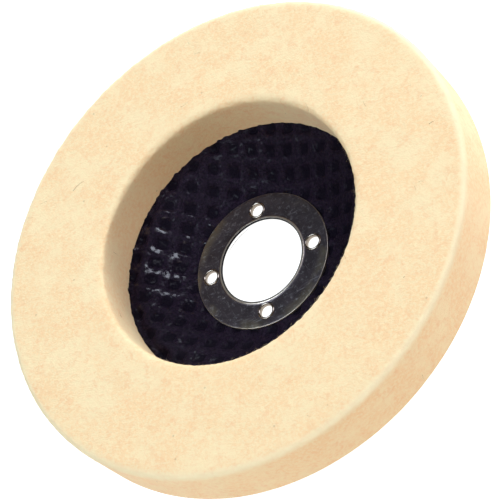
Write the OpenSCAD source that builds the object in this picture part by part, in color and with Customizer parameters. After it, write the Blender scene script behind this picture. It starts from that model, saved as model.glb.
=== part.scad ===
// Felt polishing wheel for a hand-held angle grinder.
// A thick ring of pressed felt is glued to the front of a thin depressed-centre
// backing plate of glass mesh plies set in black resin. Two stamped steel rings
// clamp the middle of the plate and four hollow eyelets hold them together.
// Origin: middle of the rear clamp face, on the wheel's axis. +Z points to the
// working face of the felt. All sizes are in millimetres.

/* [Felt ring] */
// Outside diameter of the felt
felt_d = 125; // [110:1:180]
// Diameter of the hole through the felt
felt_hole_d = 68.6; // [56:0.2:76]
// Felt thickness at the edge of its hole
felt_t = 12; // [6:0.5:25]
// Rounding of the two edges of the working face
felt_edge_r = 0.9; // [0.3:0.1:2]

/* [Backing plate] */
// How far the felt overhangs the plate all round
felt_overhang = 7.5; // [1:0.5:8]
// Height of the flange above the hub, at the top of the dish
dish_depth = 6.5; // [3:0.5:10]
// Radial run of the sloping wall of the dish
dish_run = 10; // [8:0.5:12]
// Flat hub outside the steel ring
hub_margin = 2.75; // [2:0.25:4]
// Blend radius of the two bends of the dish
bend_r = 4; // [1:0.5:5]
// Angle that the flange falls back towards its rim
flange_cone = 3.9; // [0:0.1:8]
// Thickness of the front ply, mesh threads included
face_ply_t = 0.8; // [0.6:0.1:1.5]
// Thickness of each of the two plies in the core
core_ply_t = 0.2; // [0.15:0.05:0.6]
// Thickness of the rear ply, mesh threads included
rear_ply_t = 0.5; // [0.3:0.1:1.5]
// Thickness of the glue under the felt
bond_t = 0.3; // [0.1:0.05:0.8]
// How far the glue stops short of the felt hole and of the plate's rim
bond_inset = 0.4; // [0.1:0.1:2]

/* [Arbor rings] */
// Bore of the wheel
bore_d = 22.23; // [14:0.01:28]
// Sheet thickness of the front ring
front_sheet = 0.7; // [0.5:0.1:1.2]
// Depth that the front ring is pressed into the mesh
front_sink = 0.5; // [0.2:0.1:0.5]
// Width of the raised lip round the bore
lip_w = 0.7; // [0.5:0.1:1.2]
// Height of the raised lip above the front ring
lip_h = 0.2; // [0.1:0.05:0.5]
// Depth of the front ring's collar in the plate
collar_h = 0.3; // [0.1:0.05:0.5]
// Wall of the collar
collar_wall = 0.5; // [0.3:0.1:0.7]
// Gap between the collar and the plies round it
collar_gap = 0.1; // [0.05:0.05:0.3]
// Flat of the front ring outside the eyelets
ring_edge = 1.75; // [1:0.25:3]
// Rounding of the rings' outer edges
ring_edge_r = 0.35; // [0.1:0.05:0.45]
// Sheet thickness of the rear ring
rear_sheet = 0.4; // [0.4:0.1:1]
// Depth that the rear ring is pressed into the mesh
rear_sink = 0.15; // [0.05:0.05:0.25]
// Radial step from the bore out to the rear ring's own hole
rear_bore_step = 0.8; // [0:0.1:0.8]
// Gap round each ring in the recess that it is pressed into
recess_gap = 0.1; // [0.05:0.05:0.3]

/* [Eyelets] */
// Number of eyelets
eyelets = 4; // [4:1:4]
// Hole through each eyelet
eyelet_hole_d = 3.3; // [2:0.1:5]
// Wall of the eyelet's tube
eyelet_wall = 0.3; // [0.2:0.05:0.5]
// Width of the curled rim, from the hole's edge outwards
rim_w = 0.6; // [0.5:0.05:0.9]
// Height of the curled rim above the front ring
rim_h = 0.3; // [0.15:0.05:0.4]
// Extra radius of the flared rear end
flare_w = 0.15; // [0.05:0.05:0.3]
// Gap between the eyelet's tube and the holes that it passes through
eyelet_gap = 0.05; // [0.02:0.01:0.2]
// Gap between the bore's lip and the eyelet's rim
lip_gap = 0.185; // [0.1:0.005:2]
// Turn of the eyelets from the mesh directions
eyelet_turn = 20; // [0:1:90]

/* [Hidden] */
$fn = 96;
arc_steps = 8;        // straight steps in each rounded corner
past = 1;             // how far a cutting solid runs past what it cuts
sliver = 0.02;        // smallest straight left beside a rounded corner

bore_r = bore_d / 2;
eyelet_r = eyelet_hole_d / 2;
tube_r = eyelet_r + eyelet_wall;
rim_r = eyelet_r + rim_w;
flare_r = tube_r + flare_w;
pitch_r = bore_r + lip_w + lip_gap + rim_r;      // radius of the eyelet circle
ring_r = pitch_r + rim_r + ring_edge;
hub_r = ring_r + hub_margin;
dish_r = hub_r + dish_run;
felt_r = felt_d / 2;
felt_hole_r = felt_hole_d / 2;
plate_r = felt_r - felt_overhang;
ply_bore_r = bore_r + collar_wall + collar_gap;
rear_bore_r = bore_r + rear_bore_step;

// heights on the hub, from the rear clamp face upwards
rear_z0 = rear_sheet - rear_sink;                // back of the rear ply
core_b_z0 = rear_z0 + rear_ply_t;
core_a_z0 = core_b_z0 + core_ply_t;
face_z0 = core_a_z0 + core_ply_t;
plate_z = face_z0 + face_ply_t;                  // front of the front ply
front_z0 = plate_z - front_sink;                 // back of the front ring
front_z = front_z0 + front_sheet;                // face of the front ring
lip_z = front_z + lip_h;
flare_z = rear_sheet / 2;                        // depth of the flared ends in the rear ring

felt_face_z = plate_z + flange_rise(felt_hole_r) + bond_t + felt_t;

steel_colour = [0.42, 0.42, 0.43];
resin_colour = [0.11, 0.10, 0.12];
core_colour = [0.16, 0.14, 0.13];
glue_colour = [0.20, 0.17, 0.14];
felt_colour = [0.97, 0.89, 0.74];

// Height of the flange's cone over the hub at radius r
function flange_rise(r) = dish_rise(r, dish_line());

// Corner points of the dish: hub centre, hub edge, top of the slope, far rim
function dish_corners() =
    let (far = felt_r + past)
    [[0, 0],
     [hub_r, 0],
     [dish_r, dish_depth],
     [far, dish_depth - (far - dish_r) * tan(flange_cone)]];

// Arc that rounds the corner b between the lines a-b and b-c
function corner_arc(a, b, c, r) =
    let (u = (a - b) / norm(a - b),
         v = (c - b) / norm(c - b),
         half = acos(u * v) / 2,
         back = r / tan(half),
         mid = (u + v) / norm(u + v),
         centre = b + mid * (r / sin(half)),
         p = b + u * back - centre,
         q = b + v * back - centre,
         start = atan2(p[1], p[0]),
         turn = atan2(p[0] * q[1] - p[1] * q[0], p * q))
    [for (i = [0 : arc_steps])
        centre + r * [cos(start + turn * i / arc_steps),
                      sin(start + turn * i / arc_steps)]];

// The dish as a line of points with both bends rounded
function dish_line() =
    let (c = dish_corners())
    concat([c[0]],
           corner_arc(c[0], c[1], c[2], bend_r),
           corner_arc(c[1], c[2], c[3], bend_r),
           [c[3]]);

// Height of a line of points at radius r
function dish_rise(r, line) =
    let (k = [for (i = [0 : len(line) - 2])
                 if (line[i][0] <= r && r <= line[i + 1][0]) i][0],
         p = line[k],
         q = line[k + 1])
    p[1] + (q[1] - p[1]) * (r - p[0]) / (q[0] - p[0]);

// The part of the dish line from radius r1 to r2, raised by dz
function dish_span(r1, r2, dz) =
    let (line = dish_line())
    concat([[r1, dish_rise(r1, line) + dz]],
           [for (p = line) if (p[0] > r1 && p[0] < r2) [p[0], p[1] + dz]],
           [[r2, dish_rise(r2, line) + dz]]);

// A list in the opposite order
function flipped(list) = [for (i = [len(list) - 1 : -1 : 0]) list[i]];

// A sheet that follows the dish from r1 to r2, between the heights z1 and z2 on the hub
module dished_sheet(r1, r2, z1, z2) {
    rotate_extrude()
        polygon(concat(dish_span(r1, r2, z1), flipped(dish_span(r1, r2, z2))));
}

// Turns and places its children at eyelet number k
module at_eyelet(k) {
    rotate([0, 0, eyelet_turn + k * 360 / eyelets])
        translate([pitch_r, 0, 0])
            children();
}

// The holes that the eyelets' tubes pass through
module eyelet_holes(z1, z2) {
    for (k = [0 : eyelets - 1])
        at_eyelet(k)
            translate([0, 0, z1])
                cylinder(r = tube_r + eyelet_gap, h = z2 - z1);
}

// One ply of the plate between two heights on the hub, with its bore and eyelet holes
module ply(z1, z2) {
    difference() {
        dished_sheet(ply_bore_r, plate_r, z1, z2);
        eyelet_holes(z1 - past, z2 + past);
    }
}

// Ring of pressed felt: flat working face, back that follows the flange
module felt_ring() {
    back = dish_span(felt_hole_r, felt_r, plate_z + bond_t);
    outer = corner_arc([felt_r, back[len(back) - 1][1]], [felt_r, felt_face_z],
                       [felt_hole_r, felt_face_z], felt_edge_r);
    inner = corner_arc([felt_r, felt_face_z], [felt_hole_r, felt_face_z],
                       back[0], felt_edge_r);
    color(felt_colour)
        rotate_extrude()
            polygon(concat(back, outer, inner));
}

// Glue between the felt and the flange
module bond_layer() {
    color(glue_colour)
        dished_sheet(felt_hole_r + bond_inset, plate_r - bond_inset, plate_z, plate_z + bond_t);
}

// Front ply, with the recess that the front ring is pressed into
module face_mesh_ply() {
    color(resin_colour)
        difference() {
            ply(face_z0, plate_z);
            translate([0, 0, front_z0])
                cylinder(r = ring_r + recess_gap, h = front_sink + past);
        }
}

// First ply of the core, behind the front ply
module core_ply_a() {
    color(core_colour)
        ply(core_a_z0, face_z0);
}

// Second ply of the core
module core_ply_b() {
    color(core_colour)
        ply(core_b_z0, core_a_z0);
}

// Rear ply, with the recess that the rear ring is pressed into
module rear_mesh_ply() {
    color(resin_colour)
        difference() {
            ply(rear_z0, core_b_z0);
            translate([0, 0, rear_z0 - past])
                cylinder(r = ring_r + recess_gap, h = rear_sink + past);
        }
}

// Front ring: flat sheet with a raised lip and a short collar round the bore
module front_arbor_ring() {
    lip_r = min(lip_h, lip_w / 2) - sliver;
    edge = corner_arc([ring_r, front_z0], [ring_r, front_z], [bore_r, front_z], ring_edge_r);
    lip_out = corner_arc([bore_r + lip_w, front_z], [bore_r + lip_w, lip_z], [bore_r, lip_z], lip_r);
    lip_in = corner_arc([bore_r + lip_w, lip_z], [bore_r, lip_z], [bore_r, front_z], lip_r);
    color(steel_colour)
        difference() {
            rotate_extrude()
                polygon(concat([[bore_r, front_z0 - collar_h],
                                [bore_r + collar_wall, front_z0 - collar_h],
                                [bore_r + collar_wall, front_z0],
                                [ring_r, front_z0]],
                               edge,
                               [[bore_r + lip_w, front_z]],
                               lip_out,
                               lip_in));
            eyelet_holes(front_z0 - past, front_z + past);
        }
}

// Rear ring: flat sheet, its eyelet holes opened out for the flared ends
module rear_arbor_ring() {
    edge = corner_arc([rear_bore_r, 0], [ring_r, 0], [ring_r, rear_sheet],
                      min(ring_edge_r, rear_sheet - rear_sink));
    color(steel_colour)
        difference() {
            rotate_extrude()
                polygon(concat([[rear_bore_r, 0]],
                               edge,
                               [[ring_r, rear_sheet],
                                [rear_bore_r, rear_sheet]]));
            eyelet_holes(-past, rear_sheet + past);
            for (k = [0 : eyelets - 1])
                at_eyelet(k)
                    translate([0, 0, -past])
                        cylinder(r = flare_r + eyelet_gap, h = past + flare_z);
        }
}

// Hollow eyelet: curled rim on the front ring, tube, flared end in the rear ring
module eyelet() {
    rim_z = front_z + rim_h;
    curl_r = min(rim_h, rim_w / 2) - sliver;
    rim = corner_arc([rim_r, front_z], [rim_r, rim_z], [eyelet_r, rim_z], curl_r);
    mouth = corner_arc([rim_r, rim_z], [eyelet_r, rim_z], [eyelet_r, front_z], curl_r);
    rotate_extrude()
        polygon(concat([[eyelet_r, 0],
                        [flare_r, 0],
                        [flare_r, flare_z],
                        [tube_r, flare_z],
                        [tube_r, front_z],
                        [rim_r, front_z]],
                       rim,
                       mouth));
}

// Eyelets, counted round the axis
module eyelet_1() {
    color(steel_colour)
        at_eyelet(0)
            eyelet();
}

module eyelet_2() {
    color(steel_colour)
        at_eyelet(1)
            eyelet();
}

module eyelet_3() {
    color(steel_colour)
        at_eyelet(2)
            eyelet();
}

module eyelet_4() {
    color(steel_colour)
        at_eyelet(3)
            eyelet();
}

felt_ring();
bond_layer();
face_mesh_ply();
core_ply_a();
core_ply_b();
rear_mesh_ply();
front_arbor_ring();
rear_arbor_ring();
eyelet_1();
eyelet_2();
eyelet_3();
eyelet_4();
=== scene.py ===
"""Felt polishing wheel: the looks of the felt, the glass mesh plate and its steel fittings.

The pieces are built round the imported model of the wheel. Lengths are in metres, the
wheel's axis is Z, and the felt's working face looks towards +Z.
"""

import math
import random

import bmesh
import bpy
from mathutils import Matrix, Vector, noise


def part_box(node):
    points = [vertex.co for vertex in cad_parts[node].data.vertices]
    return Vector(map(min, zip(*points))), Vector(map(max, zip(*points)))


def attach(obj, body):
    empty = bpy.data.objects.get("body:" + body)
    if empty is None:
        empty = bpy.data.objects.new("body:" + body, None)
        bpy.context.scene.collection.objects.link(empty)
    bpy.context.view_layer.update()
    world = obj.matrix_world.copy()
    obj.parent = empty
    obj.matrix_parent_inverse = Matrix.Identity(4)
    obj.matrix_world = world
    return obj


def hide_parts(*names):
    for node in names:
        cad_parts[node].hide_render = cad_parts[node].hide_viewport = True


bl_info = {
    "name": "Felt Polishing Wheel",
    "version": (1, 0, 0),
    "blender": (4, 5, 0),
    "location": "View3D > Sidebar > Felt Wheel",
    "description": "Builds a felt polishing wheel on a glass mesh backing plate",
    "category": "Object",
}

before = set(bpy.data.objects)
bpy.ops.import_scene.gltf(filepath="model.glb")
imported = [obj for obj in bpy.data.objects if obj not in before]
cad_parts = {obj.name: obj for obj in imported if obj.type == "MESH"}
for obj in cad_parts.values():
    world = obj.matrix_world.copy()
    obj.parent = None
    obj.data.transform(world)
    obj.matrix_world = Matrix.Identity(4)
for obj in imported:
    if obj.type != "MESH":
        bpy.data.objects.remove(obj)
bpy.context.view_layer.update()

MM = 0.001
BODY = "root"
EYELETS = 4
DARK_FIBRES = 26
# how thick the hairs are, from axis to skin
HAIR_R = 0.012 * MM
DARK_FIBRE_R = 0.03 * MM
CAUGHT_R = 0.065 * MM
# a draw below these puts a hair on the face, the outer wall or the hole's wall, else on an edge
ON_FACE, ON_OUTSIDE, ON_HOLE = 0.45, 0.75, 0.88
# how many steps each spun piece has round its axis
SLICES = 12
FELT_STEPS = 540
FRONT_PLY_STEPS = 780
REAR_PLY_STEPS = 792
RING_STEPS = 360
EYELET_STEPS = 72
# spacing of the points along a section, where the surface is shaped
FELT_STEP = 0.7 * MM
FRONT_RELIEF_STEP = 0.23 * MM
REAR_RELIEF_STEP = 0.42 * MM
# points nearer than this are merged, and heights nearer than this count as the same
MERGE = 1e-6
NEAR = 0.01 * MM
# each lamp's turn round the axis and height over the floor in degrees, and its colour
LAMPS = {
    "key": (45.0, 45.0, (0.82, 0.87, 1.0)),
    "rim": (91.0, 8.0, (0.82, 0.94, 1.0)),
    "top": (225.0, 68.0, (0.74, 0.89, 1.0)),
    "side": (-52.0, 25.0, (0.98, 0.90, 0.82)),
}
# where the few dark hairs caught in the working face start and end, in millimetres
CAUGHT = (
    ((-48.6, 10.6), (-46.0, 13.3)),
    ((49.1, 26.1), (50.2, 26.8)),
    ((51.0, -12.1), (51.35, -11.8)),
    ((45.3, 33.4), (45.55, 33.6)),
)


# ---------------------------------------------------------------- settings


def box_radius(node):
    """Outside radius of a round node."""
    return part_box(node)[1].x


def box_low(node):
    """Height of a node's lowest point."""
    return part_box(node)[0].z


def box_high(node):
    """Height of a node's highest point."""
    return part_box(node)[1].z


def length(name, description, default):
    """A length that the sidebar shows in the scene's own unit."""
    return bpy.props.FloatProperty(
        name=name, description=description, default=default, min=0.0, unit="LENGTH", precision=5
    )


def share(name, description, default):
    """A number from 0 to 1."""
    return bpy.props.FloatProperty(
        name=name, description=description, default=default, min=0.0, max=1.0, subtype="FACTOR"
    )


def power(name, description, default):
    """A lamp's power in watts."""
    return bpy.props.FloatProperty(
        name=name, description=description, default=default, min=0.0, unit="POWER"
    )


def tint(name, description, default):
    """A colour."""
    return bpy.props.FloatVectorProperty(
        name=name, description=description, default=default, size=3, min=0.0, max=1.0, subtype="COLOR"
    )


class FeltSettings(bpy.types.PropertyGroup):
    """Sizes and colours of the pressed felt."""

    outer_r: length("Outer radius", "Outside radius of the felt", box_radius("felt_ring"))
    hole_r: length("Hole radius", "Radius of the hole through the felt", 34.3 * MM)
    face_z: length("Face height", "Height of the working face", box_high("felt_ring"))
    edge_r: length("Edge rounding", "Rounding of the working face's two edges", 1.25 * MM)
    swell: length("Unevenness", "How far the pressed surface wanders", 0.07 * MM)
    fray: length("Fray", "How deep the two edges of the face are frayed", 0.24 * MM)
    cream: tint("Cream", "Main colour of the wool", (0.90, 0.60, 0.325))
    pale: tint("Pale", "Colour of the lighter wisps", (0.91, 0.71, 0.42))
    blush: tint("Blush", "Colour of the faint pink mottling", (0.87, 0.50, 0.26))
    # painted highlight: paler colour laid on the rounded outer edge of the working face, where it catches
    # the light
    face_edge_highlight: tint("Fluff", "Colour of the fluffed outer edge", (0.94, 0.78, 0.50))
    brown: tint("Brown", "Colour of stray dark fibres", (0.36, 0.20, 0.12))
    hairs: bpy.props.IntProperty(
        name="Loose hairs", description="Number of hairs that stand out of the felt", default=2600, min=0
    )


class PlateSettings(bpy.types.PropertyGroup):
    """Sizes and colours of the backing plate."""

    plate_r: length("Plate radius", "Outside radius of the plate", box_radius("face_mesh_ply"))
    hub_r: length("Hub radius", "Where the flat hub ends", 21.0 * MM)
    dish_r: length("Dish radius", "Where the sloping wall reaches the flange", 31.0 * MM)
    dish_depth: length("Dish depth", "Height of the flange above the hub", 6.5 * MM)
    bend_r: length("Bend radius", "Blend radius of the two bends", 4.0 * MM)
    cone: bpy.props.FloatProperty(
        name="Flange angle",
        description="Angle that the flange falls back towards its rim",
        default=math.radians(3.9),
        subtype="ANGLE",
    )
    bore_r: length("Ply bore", "Radius of the hole through the plies", 11.715 * MM)
    front_t: length("Front ply", "Thickness of the front ply", 0.8 * MM)
    rear_t: length("Rear ply", "Thickness of the rear ply", 0.5 * MM)
    recess_gap: length("Recess gap", "Gap round each ring in the recess that it lies in", 0.1 * MM)
    pitch: length("Mesh pitch", "Distance from one thread of the mesh to the next", 5.08 * MM)
    bar_w: length("Thread width", "Width of a flattened thread", 2.15 * MM)
    front_relief: length("Front relief", "How deep the front pits are", 0.74 * MM)
    rear_relief: length("Rear relief", "How deep the rear pits are", 0.36 * MM)
    bead: length("Bead", "Height of the resin pressed out along the felt's hole", 1.05 * MM)
    resin: tint("Resin", "Colour of the black resin", (0.0150, 0.0080, 0.0190))
    # dark end of the resin's random mottle, and also the painted shade laid in the mesh's pits
    dark_resin_and_pit_shade: tint("Deep resin", "Colour of the resin in the pits", (0.0044, 0.0024, 0.0070))
    worn: tint("Worn resin", "Colour of the dusty, worn resin", (0.032, 0.024, 0.030))
    core: tint("Core", "Colour of the inner cloths at the cut edge", (0.045, 0.034, 0.026))
    glue: tint("Glue", "Colour of the glue line", (0.12, 0.085, 0.05))


class SteelSettings(bpy.types.PropertyGroup):
    """Sizes and colours of the rings and eyelets."""

    ring_r: length("Ring radius", "Outside radius of the rings", box_radius("front_arbor_ring"))
    bore_r: length("Bore radius", "Radius of the bore through the front ring", 11.115 * MM)
    rear_bore_r: length("Rear bore radius", "Radius of the hole through the rear ring", 11.915 * MM)
    collar: length("Collar", "Depth of the front ring's collar behind its sheet", 0.3 * MM)
    lip_w: length("Lip width", "Width of the lip round the bore", 0.7 * MM)
    lip_h: length("Lip height", "Height of the lip over the ring's face", 0.2 * MM)
    tube_hole_r: length("Tube hole", "Radius of the hole through an eyelet", 1.65 * MM)
    rim_r: length("Rim radius", "Outside radius of an eyelet's rolled rim", 2.25 * MM)
    eyelet_pitch_r: length("Eyelet circle", "Radius of the circle that the eyelets stand on", 14.25 * MM)
    eyelet_hole_r: length("Eyelet hole", "Radius of the holes in the plies", 2.0 * MM)
    eyelet_turn: bpy.props.FloatProperty(
        name="Eyelet turn",
        description="Turn of the eyelets from the threads of the mesh",
        default=math.radians(20.0),
        subtype="ANGLE",
    )
    steel: tint("Steel", "Colour of the plated sheet", (0.077, 0.061, 0.069))
    bright: tint("Bright", "Colour of the fresh scuffs", (0.42, 0.41, 0.42))
    rust: tint("Tarnish", "Colour of the tarnish at the rim", (0.20, 0.165, 0.115))
    # also laid on the rings' bore lip and rounded outer edge as a painted highlight
    curl: tint("Curl", "Colour of the curled rims", (0.50, 0.43, 0.36))
    # painted shade: above this height the bore's wall takes the near-black shade colour, below it the
    # bright polished colour
    bore_shade_z: length("Dull height", "Height where the bore's dull wall ends, polished below it", 1.95 * MM)
    # painted shade: colour of the darkened band just inside an eyelet's mouth
    tarnish_and_mouth_shade: tint("Stain", "Colour of the stained mouth of an eyelet", (0.30, 0.25, 0.20))
    tube: tint("Tube", "Colour of the polished inside of an eyelet", (0.96, 0.94, 0.90))
    # painted shade on the bore's upper wall
    bore_wall_shade: tint("Oxide", "Colour of the dull wall of the bore", (0.012, 0.010, 0.012))


class StageSettings(bpy.types.PropertyGroup):
    """Camera, floor and lights."""

    focal: bpy.props.FloatProperty(
        name="Focal length", description="Focal length of the lens", default=140.8, min=1.0
    )
    eye: bpy.props.FloatVectorProperty(
        name="Eye",
        description="Place of the camera",
        default=(0.25687, -0.16239, 0.37129),
        subtype="TRANSLATION",
    )
    forward: bpy.props.FloatVectorProperty(
        name="View direction",
        description="Where the camera looks",
        default=(-0.54224, 0.34291, -0.76707),
        subtype="DIRECTION",
    )
    up: bpy.props.FloatVectorProperty(
        name="Up",
        description="The camera's upward direction",
        default=(-0.00303, 0.91213, 0.40990),
        subtype="DIRECTION",
    )
    floor_glow: share("Floor glow", "Light that the white floor gives off", 1.0)
    sky: share("Sky", "Strength of the even light from all round", 0.03)
    key: power("Key", "Power of the key light", 7.3)
    rim: power("Rim", "Power of the low rim light", 16.0)
    top: power("Top", "Power of the top light", 9.45)
    side: power("Side", "Power of the side light", 3.0)
    lamp_size: length("Lamp size", "Width of each square light", 500.0 * MM)
    lamp_distance: length("Lamp distance", "Distance of each light from the wheel", 1100.0 * MM)


# ---------------------------------------------------------------- shapes


def rounded_corner(a, b, c, radius, steps=8):
    """Points of the arc that rounds corner b between the lines a-b and b-c."""
    a, b, c = Vector(a), Vector(b), Vector(c)
    u, v = (a - b).normalized(), (c - b).normalized()
    half = u.angle(v) / 2
    centre = b + (u + v).normalized() * (radius / math.sin(half))
    p = b + u * (radius / math.tan(half)) - centre
    q = b + v * (radius / math.tan(half)) - centre
    start = math.atan2(p.y, p.x)
    turn = math.atan2(p.x * q.y - p.y * q.x, p.dot(q))
    points = []
    for i in range(steps + 1):
        angle = start + turn * i / steps
        points.append(tuple(centre + radius * Vector((math.cos(angle), math.sin(angle)))))
    return points


def line_between(a, b, step):
    """Points from a towards b, about a step apart, without b itself."""
    a, b = Vector(a), Vector(b)
    count = max(1, round((b - a).length / step))
    return [tuple(a.lerp(b, i / count)) for i in range(count)]


def dish_line(plate):
    """The plate's section: height over the hub for each radius, both bends rounded."""
    far = plate.plate_r * 1.3
    hub = (plate.hub_r, 0.0)
    top = (plate.dish_r, plate.dish_depth)
    rim = (far, plate.dish_depth - (far - plate.dish_r) * math.tan(plate.cone))
    return (
        [(0.0, 0.0)]
        + rounded_corner((0.0, 0.0), hub, top, plate.bend_r)
        + rounded_corner(hub, top, rim, plate.bend_r)
        + [rim]
    )


def rise(line, r):
    """Height of the plate's section at radius r."""
    for (r0, z0), (r1, z1) in zip(line, line[1:]):
        if r0 <= r <= r1:
            return z0 + (z1 - z0) * (r - r0) / (r1 - r0)
    raise ValueError(f"radius {r} is outside the plate's section")


def dished(line, r0, r1, z, step):
    """Points along the plate's section from r0 to r1, raised by z."""
    count = max(1, round(abs(r1 - r0) / step))
    radii = [r0 + (r1 - r0) * i / count for i in range(count + 1)]
    return [(r, rise(line, r) + z) for r in radii]


def spun(section, steps):
    """A closed ring: a slice of the section's turn, repeated round the axis and merged."""
    bm = bmesh.new()
    verts = [bm.verts.new((r, 0.0, z)) for r, z in section]
    edges = [bm.edges.new((verts[i - 1], verts[i])) for i in range(len(verts))]
    about = {"cent": (0.0, 0.0, 0.0), "axis": (0.0, 0.0, 1.0)}
    part = math.tau / SLICES
    bmesh.ops.spin(bm, geom=verts + edges, angle=part, steps=round(steps / SLICES), **about)
    whole = bm.verts[:] + bm.edges[:] + bm.faces[:]
    bmesh.ops.spin(bm, geom=whole, angle=math.tau - part, steps=SLICES - 1, use_duplicate=True, **about)
    bmesh.ops.remove_doubles(bm, verts=bm.verts, dist=MERGE)
    bmesh.ops.recalc_face_normals(bm, faces=bm.faces)
    return bm


def finished(bm, name, material, sharp=40.0):
    """Turns a bmesh into a smooth-shaded piece that rides on the wheel."""
    mesh = bpy.data.meshes.new(name)
    bm.to_mesh(mesh)
    bm.free()
    mesh.materials.append(material)
    mesh.shade_smooth()
    mesh.set_sharp_from_angle(angle=math.radians(sharp))
    piece = bpy.data.objects.new(name, mesh)
    bpy.context.scene.collection.objects.link(piece)
    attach(piece, BODY)
    return piece


def smooth_step(low, high, x):
    """0 below low, 1 above high, with a soft change between."""
    t = min(1.0, max(0.0, (x - low) / (high - low)))
    return t * t * (3.0 - 2.0 * t)


def grain(x, y, z, size, seed=0.0):
    """Smooth noise from -1 to 1 with lumps about the given size."""
    return noise.noise(Vector((x / size + seed, y / size - seed, z / size + 2.0 * seed)))


def cell_value(i, j, seed):
    """A fixed number from 0 to 1 for each square of the mesh."""
    return noise.cell(Vector((i * 3.17 + seed, j * 5.41 - seed, seed))) * 0.5 + 0.5


# ---------------------------------------------------------------- materials


class Nodes:
    """Short ways to add and join shader nodes of one material."""

    def __init__(self, name, colour, roughness, metallic=0.0):
        self.material = bpy.data.materials.new(name)
        self.material.use_nodes = True
        self.material.diffuse_color = (*colour, 1.0)
        self.tree = self.material.node_tree
        self.shader = self.tree.nodes["Principled BSDF"]
        self.set("Base Color", (*colour, 1.0))
        self.set("Roughness", roughness)
        self.set("Metallic", metallic)
        self.place = self.add("ShaderNodeTexCoord").outputs["Object"]

    def add(self, kind, **values):
        """Adds a node and sets its plain properties."""
        node = self.tree.nodes.new(kind)
        for key, value in values.items():
            setattr(node, key, value)
        return node

    def set(self, socket, value):
        """Sets one socket of the main shader."""
        self.shader.inputs[socket].default_value = value

    def join(self, source, target):
        """Links an output to an input."""
        self.tree.links.new(source, target)

    def stretched(self, scale, turn=0.0):
        """Object coordinates, turned about the axis and then scaled."""
        mapping = self.add("ShaderNodeMapping", vector_type="TEXTURE")
        mapping.inputs["Rotation"].default_value = (0.0, 0.0, turn)
        mapping.inputs["Scale"].default_value = scale
        self.join(self.place, mapping.inputs["Vector"])
        return mapping.outputs["Vector"]

    def noise(self, size, detail=3.0, rough=0.55, distortion=0.0, vector=None):
        """Noise with lumps about the given size, from 0 to 1."""
        node = self.add("ShaderNodeTexNoise")
        node.inputs["Scale"].default_value = 1.0 / size
        node.inputs["Detail"].default_value = detail
        node.inputs["Roughness"].default_value = rough
        node.inputs["Distortion"].default_value = distortion
        self.join(vector or self.place, node.inputs["Vector"])
        return node.outputs["Fac"]

    def cells(self, size, feature="F1", vector=None):
        """Distance pattern of scattered points about a size apart."""
        node = self.add("ShaderNodeTexVoronoi", feature=feature)
        node.inputs["Scale"].default_value = 1.0 / size
        self.join(vector or self.place, node.inputs["Vector"])
        return node.outputs["Distance"]

    def ramp(self, source, low, high, invert=False):
        """0 below low and 1 above high, or the other way round."""
        node = self.add("ShaderNodeMapRange", clamp=True, interpolation_type="SMOOTHSTEP")
        node.inputs["From Min"].default_value = low
        node.inputs["From Max"].default_value = high
        node.inputs["To Min"].default_value = 1.0 if invert else 0.0
        node.inputs["To Max"].default_value = 0.0 if invert else 1.0
        self.join(source, node.inputs["Value"])
        return node.outputs["Result"]

    def maths(self, operation, a, b):
        """One sum of two values, either of which may be a number."""
        node = self.add("ShaderNodeMath", operation=operation)
        for socket, value in zip(node.inputs, (a, b)):
            if isinstance(value, (int, float)):
                socket.default_value = value
            else:
                self.join(value, socket)
        return node.outputs["Value"]

    def blend(self, amount, a, b):
        """Mixes two colours, either of which may be a plain colour."""
        node = self.add("ShaderNodeMix", data_type="RGBA")
        self.join(amount, node.inputs["Factor"])
        for socket, value in ((node.inputs[6], a), (node.inputs[7], b)):
            if isinstance(value, bpy.types.NodeSocket):
                self.join(value, socket)
            else:
                socket.default_value = (*value, 1.0)
        return node.outputs[2]

    def axis_distance(self):
        """Distance from the wheel's axis."""
        flat = self.add("ShaderNodeVectorMath", operation="MULTIPLY")
        flat.inputs[1].default_value = (1.0, 1.0, 0.0)
        self.join(self.place, flat.inputs[0])
        far = self.add("ShaderNodeVectorMath", operation="LENGTH")
        self.join(flat.outputs["Vector"], far.inputs[0])
        return far.outputs["Value"]

    def height(self):
        """Height above the plate's clamping face."""
        split = self.add("ShaderNodeSeparateXYZ")
        self.join(self.place, split.inputs[0])
        return split.outputs["Z"]

    def bumps(self, *layers):
        """Stacks bump layers, each a height and its depth in metres."""
        normal = None
        for height, depth in layers:
            bump = self.add("ShaderNodeBump")
            bump.inputs["Strength"].default_value = 1.0
            bump.inputs["Distance"].default_value = depth
            self.join(height, bump.inputs["Height"])
            if normal:
                self.join(normal, bump.inputs["Normal"])
            normal = bump.outputs["Normal"]
        self.join(normal, self.shader.inputs["Normal"])


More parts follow.
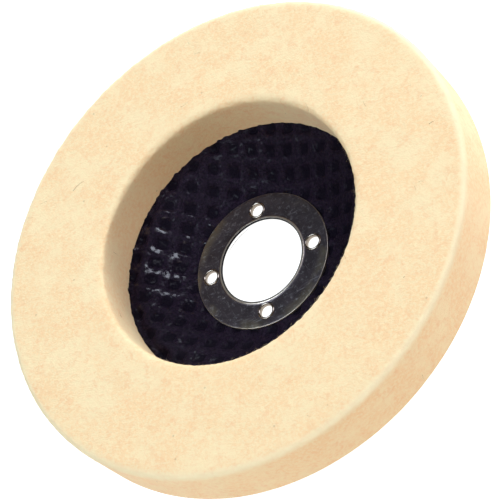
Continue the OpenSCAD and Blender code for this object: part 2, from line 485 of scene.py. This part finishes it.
def felt_material(felt):
    """Pressed wool: cream with faint blushes, wisps, specks and a hairy surface, and a painted highlight
    along the outer edge of the face.
    """
    n = Nodes("pressed_felt", felt.cream, 0.95)
    n.set("Specular IOR Level", 0.12)
    n.set("Sheen Weight", 0.1)
    n.set("Sheen Roughness", 0.6)
    cloud = n.ramp(n.noise(8 * MM, 4.0), 0.38, 0.66)
    blush = n.ramp(n.noise(3.2 * MM, 5.0, 0.65, 0.6), 0.50, 0.70)
    grit = n.ramp(n.noise(0.8 * MM, 3.0, 0.6), 0.42, 0.62)
    pepper = n.ramp(n.noise(1.3 * MM, 4.0, 0.65, 0.3, n.stretched((1.0, 1.4, 1.0), 1.9)), 0.52, 0.68)
    wisps = n.noise(0.9 * MM, 6.0, 0.7, 1.6, n.stretched((1.0, 2.6, 1.0), 0.6))
    cross = n.noise(0.8 * MM, 6.0, 0.7, 1.8, n.stretched((2.6, 1.0, 1.0), 0.2))
    specks = n.ramp(n.cells(9 * MM), 0.022, 0.036, invert=True)
    colour = n.blend(n.maths("MULTIPLY", cloud, 0.7), felt.cream, felt.pale)
    colour = n.blend(n.maths("MULTIPLY", blush, 0.6), colour, felt.blush)
    colour = n.blend(n.maths("MULTIPLY", grit, 0.6), colour, felt.pale)
    colour = n.blend(n.maths("MULTIPLY", pepper, 0.34), colour, felt.blush)
    colour = n.blend(n.maths("MULTIPLY", n.ramp(wisps, 0.52, 0.72), 0.5), colour, felt.pale)
    colour = n.blend(n.maths("MULTIPLY", n.ramp(cross, 0.52, 0.72), 0.5), colour, felt.blush)
    colour = n.blend(n.maths("MULTIPLY", specks, 0.35), colour, felt.brown)
    # painted highlight: a paler band on the rounded outer edge of the face, where the light catches it
    corner = felt.edge_r + 0.9 * MM
    near_edge = n.ramp(n.axis_distance(), felt.outer_r - corner, felt.outer_r - 0.2 * corner)
    near_face = n.ramp(n.height(), felt.face_z - corner, felt.face_z - 0.2 * corner)
    face_edge_highlight_amount = n.maths("MULTIPLY", n.maths("MULTIPLY", near_edge, near_face), 0.7)
    colour = n.blend(face_edge_highlight_amount, colour, felt.face_edge_highlight)
    n.join(colour, n.shader.inputs["Base Color"])
    n.bumps((wisps, 0.12 * MM), (cross, 0.12 * MM), (n.noise(0.3 * MM, 2.0), 0.05 * MM))
    return n.material


def hair_material(name, colour):
    """One wool hair."""
    n = Nodes(name, colour, 0.8)
    n.set("Specular IOR Level", 0.2)
    return n.material


def thread_waves(n, plate):
    """Two waves, each 1 along the middle of one set of the mesh's threads and -1 between them."""
    split = n.add("ShaderNodeSeparateXYZ")
    n.join(n.place, split.inputs[0])
    waves = []
    for side in ("X", "Y"):
        turn = n.maths("MULTIPLY", split.outputs[side], math.tau / plate.pitch)
        waves.append(n.maths("COSINE", turn, 0.0))
    return waves


def pit_mask(n, plate, waves):
    """1 in the pits of the mesh and 0 on its threads, with a ragged edge."""
    half = 0.5 * (plate.pitch - plate.bar_w) * 0.92
    limit = -math.cos(math.tau * half / plate.pitch)
    ragged = n.maths("MULTIPLY", n.maths("SUBTRACT", n.noise(1.2 * MM, 3.0), 0.5), 1.6)
    return n.ramp(n.maths("ADD", n.maths("MAXIMUM", *waves), ragged), limit - 0.6, limit + 0.4, invert=True)


def glaze_mask(n, plate, waves):
    """Where the resin dried glossy: dashes along one set of threads, most on one side of the dish."""
    dashes = n.ramp(n.noise(1.3 * MM, 3.0, 0.6, 0.3, n.stretched((1.5, 1.0, 1.0))), 0.47, 0.63)
    pooled = n.add("ShaderNodeVectorMath", operation="DISTANCE")
    pooled.inputs[1].default_value = (-0.5 * (plate.hub_r + plate.dish_r), -1 * MM, plate.dish_depth)
    n.join(n.place, pooled.inputs[0])
    thick = n.ramp(pooled.outputs["Value"], 8 * MM, 23 * MM, invert=True)
    on_thread = n.ramp(waves[1], -0.1, 0.6)
    amount = n.maths("ADD", n.maths("MULTIPLY", n.maths("MULTIPLY", thick, on_thread), 0.72), 0.08)
    return n.maths("MULTIPLY", dashes, amount)


def resin_material(name, plate):
    """Black resin over glass threads: glossy, with fine filaments and small pits darkened by painted shade.
    """
    n = Nodes(name, plate.resin, 0.4)
    n.set("Specular IOR Level", 0.07)
    n.set("Coat Roughness", 0.19)
    along_x = n.noise(0.30 * MM, 3.0, 0.6, 0.2, n.stretched((6.0, 1.0, 1.0)))
    along_y = n.noise(0.30 * MM, 3.0, 0.6, 0.2, n.stretched((1.0, 6.0, 1.0)))
    lumps = n.noise(1.1 * MM, 4.0, 0.6, 0.8)
    knobs = n.noise(0.60 * MM, 4.0, 0.65)
    dust = n.ramp(n.noise(0.8 * MM, 5.0, 0.75), 0.54, 0.70)
    waves = thread_waves(n, plate)
    pits = pit_mask(n, plate, waves)
    glaze = glaze_mask(n, plate, waves)
    colour = n.blend(n.ramp(knobs, 0.35, 0.65), plate.dark_resin_and_pit_shade, plate.resin)
    colour = n.blend(n.maths("MULTIPLY", dust, 0.5), colour, plate.worn)
    # painted shade: the pits are darkened towards the dark resin colour
    n.join(n.blend(pits, colour, plate.dark_resin_and_pit_shade), n.shader.inputs["Base Color"])
    n.join(glaze, n.shader.inputs["Coat Weight"])
    rough = n.maths("ADD", n.maths("MULTIPLY", lumps, 0.35), n.maths("MULTIPLY", pits, 0.35))
    n.join(n.maths("ADD", rough, 0.2), n.shader.inputs["Roughness"])
    n.bumps((lumps, 0.40 * MM), (knobs, 0.34 * MM), (along_x, 0.07 * MM), (along_y, 0.07 * MM))
    return n.material


def core_material(plate):
    """Cut edge of the inner cloths: dark resin with paler glass ends."""
    n = Nodes("core_cloth", plate.core, 0.6)
    ends = n.ramp(n.noise(0.35 * MM, 3.0, 0.6), 0.5, 0.7)
    colour = n.blend(n.maths("MULTIPLY", ends, 0.6), plate.core, (0.14, 0.12, 0.09))
    n.join(colour, n.shader.inputs["Base Color"])
    n.bumps((ends, 0.05 * MM))
    return n.material


def glue_material(plate):
    """Brown glue line."""
    n = Nodes("glue_line", plate.glue, 0.45)
    smears = n.noise(1.5 * MM, 4.0)
    n.join(n.blend(smears, plate.glue, (0.05, 0.035, 0.022)), n.shader.inputs["Base Color"])
    n.bumps((smears, 0.08 * MM))
    return n.material


def ring_material(name, steel):
    """Plated sheet: mottled grey, scuffed, with a brown tint at the rim, a painted highlight on the bore's
    lip and the outer edge, and painted shade on the bore's upper wall.
    """
    n = Nodes(name, steel.steel, 0.34, 0.9)
    mottle = n.noise(2.4 * MM, 5.0, 0.7, 0.4)
    blotches = n.ramp(n.noise(0.9 * MM, 4.0, 0.6, 0.3), 0.54, 0.72)
    specks = n.ramp(n.noise(0.33 * MM, 3.0, 0.6), 0.62, 0.74)
    scratches = n.ramp(n.noise(0.15 * MM, 2.0, 0.5, 0.0, n.stretched((22.0, 1.0, 1.0), 0.5)), 0.62, 0.80)
    others = n.ramp(n.noise(0.15 * MM, 2.0, 0.5, 0.0, n.stretched((20.0, 1.0, 1.0), -0.8)), 0.64, 0.82)
    marks = n.maths("MAXIMUM", n.maths("MAXIMUM", scratches, others), specks)
    far = n.axis_distance()
    rim = n.ramp(far, steel.ring_r - 3.2 * MM, steel.ring_r - 0.4 * MM)
    tarnish_and_mouth_shade = n.maths("MULTIPLY", rim, n.ramp(n.noise(9 * MM, 2.0), 0.45, 0.60))
    shade = n.blend(mottle, tuple(0.7 * c for c in steel.steel), tuple(1.35 * c for c in steel.steel))
    colour = n.blend(n.maths("MULTIPLY", tarnish_and_mouth_shade, 0.7), shade, steel.rust)
    colour = n.blend(n.maths("MULTIPLY", blotches, 0.28), colour, steel.bright)
    colour = n.blend(n.maths("MULTIPLY", marks, 0.36), colour, steel.bright)
    # painted highlight: the bore's lip and the rounded outer edge take the paler curl colour, where their
    # rounding catches the light
    lip = n.ramp(far, steel.bore_r + 0.62 * MM, steel.bore_r + 0.8 * MM, invert=True)
    edge = n.ramp(far, steel.ring_r - 0.22 * MM, steel.ring_r - 0.1 * MM)
    lip_and_rim_highlight = n.maths("MAXIMUM", n.maths("MULTIPLY", lip, 0.8), n.maths("MULTIPLY", edge, 0.6))
    colour = n.blend(lip_and_rim_highlight, colour, steel.curl)
    # painted shade: the bore's wall is near-black above the shade height, with a bright polished colour
    # below it
    wall = n.ramp(far, steel.bore_r + 0.18 * MM, steel.bore_r + 0.30 * MM, invert=True)
    polished = n.ramp(n.height(), steel.bore_shade_z - 0.12 * MM, steel.bore_shade_z, invert=True)
    n.join(n.blend(wall, colour, n.blend(polished, steel.bore_wall_shade, steel.tube)), n.shader.inputs["Base Color"])
    n.join(n.maths("ADD", n.maths("MULTIPLY", mottle, 0.30), 0.22), n.shader.inputs["Roughness"])
    n.bumps((mottle, 0.07 * MM), (blotches, 0.015 * MM), (marks, 0.012 * MM))
    return n.material


def curl_material(steel):
    """Eyelet: rubbed rolled rim, painted shade just inside its mouth, and a bright tube below it."""
    n = Nodes("eyelet_steel", steel.curl, 0.24, 1.0)
    wear = n.noise(0.7 * MM, 4.0, 0.6)
    top = box_high("eyelet_1")
    rim = n.ramp(n.height(), top - 0.26 * MM, top - 0.16 * MM)
    tube = n.ramp(n.height(), top - 1.30 * MM, top - 0.95 * MM, invert=True)
    # painted shade: the band between the rolled rim and the bright tube is darkened
    colour = n.blend(rim, steel.tarnish_and_mouth_shade, n.blend(wear, steel.steel, steel.curl))
    n.join(n.blend(tube, colour, steel.tube), n.shader.inputs["Base Color"])
    n.bumps((wear, 0.03 * MM))
    return n.material


def dress(node, material):
    """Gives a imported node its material."""
    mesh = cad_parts[node].data
    if not mesh.materials:
        mesh.materials.append(material)
    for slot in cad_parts[node].material_slots:
        slot.material = material


# ---------------------------------------------------------------- pieces


def felt_section(felt, plate):
    """Section of the felt ring: back along the flange, outer wall, face and hole wall."""
    line = dish_line(plate)
    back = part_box("felt_ring")[0].z - rise(line, felt.outer_r)
    section = dished(line, felt.hole_r, felt.outer_r, back, step=1.6 * MM)
    corner = (felt.outer_r, felt.face_z)
    inner = (felt.hole_r, felt.face_z)
    outer_edge = rounded_corner(section[-1], corner, inner, felt.edge_r)
    inner_edge = rounded_corner(corner, inner, section[0], felt.edge_r)
    walls = line_between(section[-1], outer_edge[0], FELT_STEP)[1:]
    face = line_between(outer_edge[-1], inner_edge[0], FELT_STEP)[1:]
    hole = line_between(inner_edge[-1], section[0], FELT_STEP)[1:]
    return section + walls + outer_edge + face + inner_edge + hole


def roughen_felt(bm, felt):
    """Moves the felt's surface a little in and out, as pressed wool wanders, and frays its edges."""
    bm.normal_update()
    for vert in bm.verts:
        x, y, z = vert.co
        r = math.hypot(x, y)
        from_edge = math.hypot(min(abs(r - felt.hole_r), abs(r - felt.outer_r)), z - felt.face_z)
        near_edge = 1.0 - smooth_step(0.4 * MM, 2.2 * MM, from_edge)
        slow = grain(x, y, z, 14 * MM, 3.0)
        middle = grain(x, y, z, 3.2 * MM, 11.0)
        quick = grain(x, y, z, 1.1 * MM, 23.0)
        inward = 0.6 * slow + 0.35 * middle + 0.25 * quick - 0.7
        frayed = 0.6 * grain(x, y, z, 0.9 * MM, 31.0) + 0.4 * grain(x, y, z, 2.1 * MM, 37.0) - 0.5
        vert.co += vert.normal * (inward * felt.swell + frayed * near_edge * felt.fray)


def hair_path(rng, point, normal, reach, lie):
    """Four points of a curved hair that starts in the surface and leans over."""
    side = normal.orthogonal().normalized()
    side.rotate(Matrix.Rotation(rng.uniform(0.0, math.tau), 3, normal))
    bend = normal.cross(side) * rng.uniform(-0.5, 0.5)
    path = []
    for i in range(4):
        t = i / 3
        lift = lie * math.sin(t * math.pi * 0.8)
        path.append(point + (side * t + bend * t * t + normal * lift) * reach - normal * (0.02 * MM))
    return path


def hairs(name, paths, hair_r, material):
    """One piece of thin hairs, each a tapered tube along its path."""
    curve = bpy.data.curves.new(name, "CURVE")
    curve.dimensions = "3D"
    curve.bevel_depth = hair_r
    curve.bevel_resolution = 0
    curve.use_fill_caps = True
    for path in paths:
        spline = curve.splines.new("POLY")
        spline.points.add(len(path) - 1)
        for i, (point, place) in enumerate(zip(spline.points, path)):
            point.co = (*place, 1.0)
            point.radius = 1.0 - 0.6 * i / (len(path) - 1)
    tubes = bpy.data.objects.new(name, curve)
    bpy.context.scene.collection.objects.link(tubes)
    mesh = bpy.data.meshes.new_from_object(tubes.evaluated_get(bpy.context.evaluated_depsgraph_get()))
    bpy.data.objects.remove(tubes)
    bm = bmesh.new()
    bm.from_mesh(mesh)
    bmesh.ops.remove_doubles(bm, verts=bm.verts, dist=MERGE)
    bmesh.ops.recalc_face_normals(bm, faces=bm.faces)
    return finished(bm, name, material, sharp=180.0)


def bowed(start, end, height):
    """Path of a hair that lies flat on the felt between two places, slightly bowed."""
    along = end - start
    side = Vector((-along.y, along.x)) * 0.09
    flat = (start, start + 0.35 * along + side, start + 0.7 * along + side, end)
    return [Vector((point.x, point.y, height)) for point in flat]


def on_felt(felt, back, rng):
    """A random place on the felt's face, edges or walls, with its outward direction."""
    angle = rng.uniform(0.0, math.tau)
    out = Vector((math.cos(angle), math.sin(angle), 0.0))
    up = Vector((0.0, 0.0, 1.0))
    kind = rng.random()
    if kind < ON_FACE:
        radius = math.sqrt(rng.uniform((felt.hole_r + MM) ** 2, (felt.outer_r - MM) ** 2))
        return out * radius + up * felt.face_z, up
    if kind < ON_OUTSIDE:
        height = rng.uniform(back + MM, felt.face_z - felt.edge_r)
        return out * felt.outer_r + up * height, out
    if kind < ON_HOLE:
        height = rng.uniform(back + 4 * MM, felt.face_z - felt.edge_r)
        return out * felt.hole_r + up * height, -out
    corner = rng.choice((felt.outer_r - 0.3 * felt.edge_r, felt.hole_r + 0.3 * felt.edge_r))
    sign = 1.0 if corner > 0.5 * (felt.outer_r + felt.hole_r) else -1.0
    return out * corner + up * (felt.face_z - 0.3 * felt.edge_r), (out * sign + up).normalized()


def mesh_relief(x, y, plate, seed):
    """Height of the square mesh, from 0 in the pits to 1 on the threads."""
    wander = 0.30 * MM
    squareness = 2.7
    u = (x + wander * grain(x, y, 0.0, 7 * MM, seed)) / plate.pitch
    v = (y + wander * grain(x, y, 0.0, 7 * MM, seed + 7.0)) / plate.pitch
    pit_u, pit_v = math.floor(u), math.floor(v)
    from_u = abs(u - pit_u - 0.5) * plate.pitch
    from_v = abs(v - pit_v - 0.5) * plate.pitch
    half = 0.5 * (plate.pitch - plate.bar_w) * (0.90 + 0.2 * cell_value(pit_u, pit_v, seed))
    half_v = half * (1.0 + 0.2 * grain(x, y, 0.0, 4 * MM, seed + 2.0))
    out = ((from_u / half) ** squareness + (from_v / half_v) ** squareness) ** (1 / squareness)
    bank = smooth_step(0.62, 1.20, out)
    across = min(abs(u - round(u)), abs(v - round(v))) * plate.pitch / (0.5 * plate.bar_w)
    round_top = 0.20 * min(1.0, across) ** 2
    weave = 0.09 * math.cos(math.pi * (u + round(v))) * math.cos(math.pi * (v + round(u)))
    floor = 0.35 * cell_value(pit_v, pit_u, seed) * (0.5 + 0.5 * grain(x, y, 0.0, 1.4 * MM, seed + 4.0))
    lumps = 0.13 * grain(x, y, 0.0, 1.3 * MM, seed + 3.0) + 0.10 * grain(x, y, 0.0, 0.65 * MM, seed + 5.0)
    top = 0.93 - round_top + weave
    return min(1.0, max(0.0, floor + (top - floor) * bank + lumps))


def eyelet_place(steel, k, height):
    """Middle of an eyelet at a height."""
    angle = steel.eyelet_turn + k * math.tau / EYELETS
    return Vector((steel.eyelet_pitch_r * math.cos(angle), steel.eyelet_pitch_r * math.sin(angle), height))


def hole_cutter(steel, radius, low, high):
    """Rods that cut the eyelets' holes."""
    bm = bmesh.new()
    for k in range(EYELETS):
        middle = eyelet_place(steel, k, 0.5 * (low + high))
        bmesh.ops.create_cone(
            bm,
            cap_ends=True,
            segments=48,
            radius1=radius,
            radius2=radius,
            depth=high - low,
            matrix=Matrix.Translation(middle),
        )
    mesh = bpy.data.meshes.new("hole_cutter")
    bm.to_mesh(mesh)
    bm.free()
    cutter = bpy.data.objects.new("hole_cutter", mesh)
    bpy.context.scene.collection.objects.link(cutter)
    return cutter


def cut_holes(piece, cutter):
    """Cuts the eyelets' holes out of a piece and removes the cutter."""
    cut = piece.modifiers.new("eyelet_holes", "BOOLEAN")
    cut.operation = "DIFFERENCE"
    cut.solver = "MANIFOLD"
    cut.object = cutter
    shape = bpy.data.meshes.new_from_object(piece.evaluated_get(bpy.context.evaluated_depsgraph_get()))
    piece.modifiers.remove(cut)
    piece.data = shape
    bpy.data.objects.remove(cutter)


def front_ply(felt, plate, steel):
    """Front ply: relief where it shows inside the felt, flat under the glue."""
    line = dish_line(plate)
    back_z = box_low("face_mesh_ply")
    seat_z = box_low("front_arbor_ring") + steel.collar
    top_z = back_z + plate.front_t
    edge = steel.ring_r + plate.recess_gap
    shown = felt.hole_r + 0.5 * MM
    section = [(plate.bore_r, back_z), (plate.bore_r, seat_z)]
    section += [(edge - 0.5 * MM, seat_z), (edge, seat_z)]
    section += dished(line, edge, shown, top_z, FRONT_RELIEF_STEP)
    section += dished(line, shown, plate.plate_r, top_z, step=2.5 * MM)[1:]
    section += dished(line, plate.plate_r, plate.bore_r, back_z, step=1.2 * MM)[:-1]
    bm = spun(section, FRONT_PLY_STEPS)
    for vert in bm.verts:
        x, y, z = vert.co
        r = math.hypot(x, y)
        if edge - NEAR <= r < shown and z > rise(line, r) + back_z + 0.5 * plate.front_t:
            free = 1.0 - smooth_step(felt.hole_r, shown, r)
            near = smooth_step(felt.hole_r - 1.3 * MM, felt.hole_r - 0.3 * MM, r)
            bead = plate.bead * max(0.0, 0.45 + 0.8 * grain(x, y, 0.0, 1.5 * MM, 9.0))
            low = plate.front_relief * (1.0 - mesh_relief(x, y, plate, seed=1.5))
            vert.co.z += free * (near * bead - (1.0 - 0.6 * near) * low)
    piece = finished(bm, "front_mesh_ply", resin_material("front_resin", plate), sharp=60.0)
    cut_holes(piece, hole_cutter(steel, steel.eyelet_hole_r, back_z - MM, top_z + MM))
    return piece


def rear_ply(plate, steel):
    """Rear ply: relief over the whole back of the plate."""
    line = dish_line(plate)
    back_z = box_low("rear_mesh_ply")
    seat_z = box_high("rear_arbor_ring")
    top_z = back_z + plate.rear_t
    edge = steel.ring_r + plate.recess_gap
    rim = plate.plate_r
    section = [(plate.bore_r, top_z), (plate.bore_r, seat_z), (edge - 0.5 * MM, seat_z), (edge, seat_z)]
    section += dished(line, edge, rim, back_z, REAR_RELIEF_STEP)
    section += dished(line, rim, plate.bore_r, top_z, step=1.5 * MM)[:-1]
    bm = spun(section, REAR_PLY_STEPS)
    for vert in bm.verts:
        x, y, z = vert.co
        r = math.hypot(x, y)
        on_back = r >= edge - NEAR and z < rise(line, min(r, rim)) + back_z + 0.1 * MM
        in_recess = r < edge + NEAR and z > seat_z - NEAR
        if on_back and not in_recess:
            vert.co.z += plate.rear_relief * (1.0 - mesh_relief(x, y, plate, seed=4.5))
    piece = finished(bm, "rear_mesh_ply_relief", resin_material("rear_resin", plate), sharp=60.0)
    cut_holes(piece, hole_cutter(steel, steel.eyelet_hole_r, back_z - MM, top_z + MM))
    return piece


def plated_ring(section, name, material, steel, hole_r):
    """A steel ring: its section spun, and the eyelets' holes cut."""
    low = min(z for _, z in section)
    high = max(z for _, z in section)
    piece = finished(spun(section, RING_STEPS), name, material, sharp=50.0)
    cut_holes(piece, hole_cutter(steel, hole_r, low - MM, high + MM))
    return piece


def front_ring_section(steel):
    """Front ring: collar, flat sheet with a rounded rim, and a rounded lip at the bore."""
    low, lip = box_low("front_arbor_ring"), box_high("front_arbor_ring")
    seat, face = low + steel.collar, lip - steel.lip_h
    foot = (steel.bore_r + steel.lip_w + 0.25 * MM, face)
    brow = (steel.bore_r + steel.lip_w - 0.15 * MM, lip)
    inner = (steel.bore_r, lip)
    rim = rounded_corner((steel.ring_r, seat), (steel.ring_r, face), foot, radius=0.22 * MM, steps=5)
    section = [(steel.bore_r, low), (steel.bore_r + 0.5 * MM, low), (steel.bore_r + 0.5 * MM, seat)]
    section += [(steel.ring_r, seat)] + rim
    section += line_between(rim[-1], foot, step=MM)[1:]
    section += rounded_corner(rim[-1], foot, brow, radius=0.2 * MM, steps=4)
    section += rounded_corner(foot, brow, inner, radius=0.14 * MM, steps=5)
    section += rounded_corner(brow, inner, (steel.bore_r, low), radius=0.30 * MM, steps=6)
    return section


def rear_ring_section(steel):
    """Rear ring: flat sheet, both edges of its outer face rounded."""
    low, high = box_low("rear_arbor_ring"), box_high("rear_arbor_ring")
    inner_r = steel.rear_bore_r
    outer, inner = (steel.ring_r, low), (inner_r, low)
    section = [(inner_r, high), (steel.ring_r, high)]
    section += rounded_corner((steel.ring_r, high), outer, inner, radius=0.2 * MM, steps=5)
    section += rounded_corner(outer, inner, (inner_r, high), radius=0.12 * MM, steps=4)
    return section


def eyelet_section(steel):
    """Hollow eyelet: rolled rim on the front ring, tube, and flared end at the back."""
    low, high = box_low("eyelet_1"), box_high("eyelet_1")
    roll = 0.5 * (steel.rim_r - steel.tube_hole_r)
    middle = steel.tube_hole_r + roll
    seat = high - roll
    flare, flare_h = 0.36 * MM, 0.5 * MM
    section = []
    for i in range(11):
        angle = math.pi * i / 10
        section.append((middle + roll * math.cos(angle), seat + roll * math.sin(angle)))
    section += line_between(section[-1], (steel.tube_hole_r, low + flare_h), step=0.4 * MM)[1:]
    for i in range(7):
        t = i / 6
        section.append((steel.tube_hole_r + flare * t * t, low + flare_h * (1.0 - t)))
    section += [(steel.tube_hole_r + 0.45 * MM, low + 0.06 * MM), (middle, low + 0.45 * MM), (middle, seat)]
    return section


# ---------------------------------------------------------------- operators


class FELT_WHEEL_OT_felt(bpy.types.Operator):
    """Builds the pressed felt ring"""

    bl_idname = "felt_wheel.felt"
    bl_label = "Felt ring"

    def execute(self, context):
        felt, plate = context.scene.wheel_felt, context.scene.wheel_plate
        bm = spun(felt_section(felt, plate), FELT_STEPS)
        roughen_felt(bm, felt)
        ring = finished(bm, "pressed_felt_ring", felt_material(felt))
        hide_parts("felt_ring")
        return {"FINISHED"}


class FELT_WHEEL_OT_hairs(bpy.types.Operator):
    """Adds the felt's loose hairs and a few dark fibres"""

    bl_idname = "felt_wheel.hairs"
    bl_label = "Loose hairs"

    def execute(self, context):
        felt = context.scene.wheel_felt
        back = box_low("felt_ring")
        rng = random.Random(7)
        loose = []
        for _ in range(felt.hairs):
            point, normal = on_felt(felt, back, rng)
            loose.append(hair_path(rng, point, normal, rng.uniform(0.5, 1.6) * MM, rng.uniform(0.05, 0.28)))
        nap = hairs("loose_hairs", loose, HAIR_R, hair_material("wool_hair", felt.pale))
        stray = []
        for _ in range(DARK_FIBRES):
            point, normal = on_felt(felt, back, rng)
            stray.append(hair_path(rng, point, normal, rng.uniform(0.8, 2.4) * MM, 0.03))
        dark = hairs("dark_fibres", stray, DARK_FIBRE_R, hair_material("dark_fibre", felt.brown))
        sunk = felt.face_z - 0.03 * MM
        caught = [bowed(Vector(start) * MM, Vector(end) * MM, sunk) for start, end in CAUGHT]
        marks = hairs("caught_hairs", caught, CAUGHT_R, hair_material("caught_hair", felt.brown))
        return {"FINISHED"}


class FELT_WHEEL_OT_plies(bpy.types.Operator):
    """Builds the mesh plies and dresses the plate's inner cloths and glue"""

    bl_idname = "felt_wheel.plies"
    bl_label = "Backing plate"

    def execute(self, context):
        scene = context.scene
        front = front_ply(scene.wheel_felt, scene.wheel_plate, scene.wheel_steel)
        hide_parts("face_mesh_ply")
        rear = rear_ply(scene.wheel_plate, scene.wheel_steel)
        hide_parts("rear_mesh_ply")
        core = core_material(scene.wheel_plate)
        dress("core_ply_a", core)
        dress("core_ply_b", core)
        dress("bond_layer", glue_material(scene.wheel_plate))
        return {"FINISHED"}


class FELT_WHEEL_OT_steel(bpy.types.Operator):
    """Builds the two steel rings and the eyelets"""

    bl_idname = "felt_wheel.steel"
    bl_label = "Rings and eyelets"

    def execute(self, context):
        steel = context.scene.wheel_steel
        hole_r = steel.eyelet_hole_r - 0.03 * MM
        sections = {"front": front_ring_section(steel), "rear": rear_ring_section(steel)}
        for side, section in sections.items():
            finish = ring_material(f"{side}_ring_steel", steel)
            ring = plated_ring(section, f"{side}_ring", finish, steel, hole_r)
            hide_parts(f"{side}_arbor_ring")
        curl = curl_material(steel)
        for k in range(EYELETS):
            bm = spun(eyelet_section(steel), EYELET_STEPS)
            bmesh.ops.translate(bm, verts=bm.verts, vec=eyelet_place(steel, k, 0.0))
            eyelet = finished(bm, f"rolled_eyelet_{k + 1}", curl, sharp=60.0)
            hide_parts(f"eyelet_{k + 1}")
        return {"FINISHED"}


def floor(stage):
    """A wide white floor that gives off a little light."""
    bm = bmesh.new()
    bmesh.ops.create_grid(bm, x_segments=1, y_segments=1, size=3.0)
    mesh = bpy.data.meshes.new("floor")
    bm.to_mesh(mesh)
    bm.free()
    n = Nodes("white_floor", (0.3, 0.3, 0.3), 0.9)
    n.set("Emission Color", (1.0, 1.0, 1.0, 1.0))
    n.set("Emission Strength", stage.floor_glow)
    mesh.materials.append(n.material)
    plane = bpy.data.objects.new("floor", mesh)
    bpy.context.scene.collection.objects.link(plane)


def lamp(name, stage):
    """A square soft light that looks at the wheel from its own direction."""
    azimuth, elevation, colour = LAMPS[name]
    turn, lift = math.radians(azimuth), math.radians(elevation)
    out = Vector((math.cos(lift) * math.cos(turn), math.cos(lift) * math.sin(turn), math.sin(lift)))
    light = bpy.data.lights.new(f"{name}_light", "AREA")
    light.size = stage.lamp_size
    light.energy = getattr(stage, name)
    light.color = colour
    holder = bpy.data.objects.new(light.name, light)
    holder.location = out * stage.lamp_distance
    holder.rotation_euler = (-out).to_track_quat("-Z", "Y").to_euler()
    bpy.context.scene.collection.objects.link(holder)


class FELT_WHEEL_OT_stage(bpy.types.Operator):
    """Sets up the floor, the soft lights and the camera"""

    bl_idname = "felt_wheel.stage"
    bl_label = "Stage"

    def execute(self, context):
        scene, stage = context.scene, context.scene.wheel_stage
        floor(stage)
        world = bpy.data.worlds.new("studio")
        world.use_nodes = True
        world.node_tree.nodes["Background"].inputs["Color"].default_value = (1.0, 1.0, 1.0, 1.0)
        world.node_tree.nodes["Background"].inputs["Strength"].default_value = stage.sky
        scene.world = world
        for name in LAMPS:
            lamp(name, stage)
        forward = Vector(stage.forward).normalized()
        right = forward.cross(Vector(stage.up)).normalized()
        up = right.cross(forward)
        camera = bpy.data.cameras.new("camera")
        camera.lens = stage.focal
        camera.clip_start = 0.01
        holder = bpy.data.objects.new("camera", camera)
        turn = Matrix((right, up, -forward)).transposed()
        holder.matrix_world = Matrix.Translation(Vector(stage.eye)) @ turn.to_4x4()
        scene.collection.objects.link(holder)
        scene.camera = holder
        scene.view_settings.view_transform = "Standard"
        return {"FINISHED"}


class FELT_WHEEL_PT_sidebar(bpy.types.Panel):
    """Lists the wheel's pieces and their settings"""

    bl_label = "Felt Wheel"
    bl_idname = "FELT_WHEEL_PT_sidebar"
    bl_space_type = "VIEW_3D"
    bl_region_type = "UI"
    bl_category = "Felt Wheel"

    def draw(self, context):
        layout = self.layout
        for step, settings in STEPS:
            layout.operator(step.bl_idname, text=step.bl_label)
            group = getattr(context.scene, settings)
            for key in group.bl_rna.properties.keys():
                if key not in ("rna_type", "name"):
                    layout.prop(group, key)


SETTINGS = {
    "wheel_felt": FeltSettings,
    "wheel_plate": PlateSettings,
    "wheel_steel": SteelSettings,
    "wheel_stage": StageSettings,
}
STEPS = (
    (FELT_WHEEL_OT_felt, "wheel_felt"),
    (FELT_WHEEL_OT_hairs, "wheel_felt"),
    (FELT_WHEEL_OT_plies, "wheel_plate"),
    (FELT_WHEEL_OT_steel, "wheel_steel"),
    (FELT_WHEEL_OT_stage, "wheel_stage"),
)
CLASSES = (*SETTINGS.values(), *(step for step, _ in STEPS), FELT_WHEEL_PT_sidebar)


def register():
    """Adds the classes and the settings to Blender."""
    for item in CLASSES:
        bpy.utils.register_class(item)
    for name, group in SETTINGS.items():
        setattr(bpy.types.Scene, name, bpy.props.PointerProperty(type=group))


def unregister():
    """Takes the classes and the settings out again."""
    for name in SETTINGS:
        delattr(bpy.types.Scene, name)
    for item in reversed(CLASSES):
        bpy.utils.unregister_class(item)


def main():
    """Builds the wheel and its stage."""
    register()
    bpy.ops.felt_wheel.felt()
    bpy.ops.felt_wheel.hairs()
    bpy.ops.felt_wheel.plies()
    bpy.ops.felt_wheel.steel()
    bpy.ops.felt_wheel.stage()


if __name__ == "__main__":
    main()
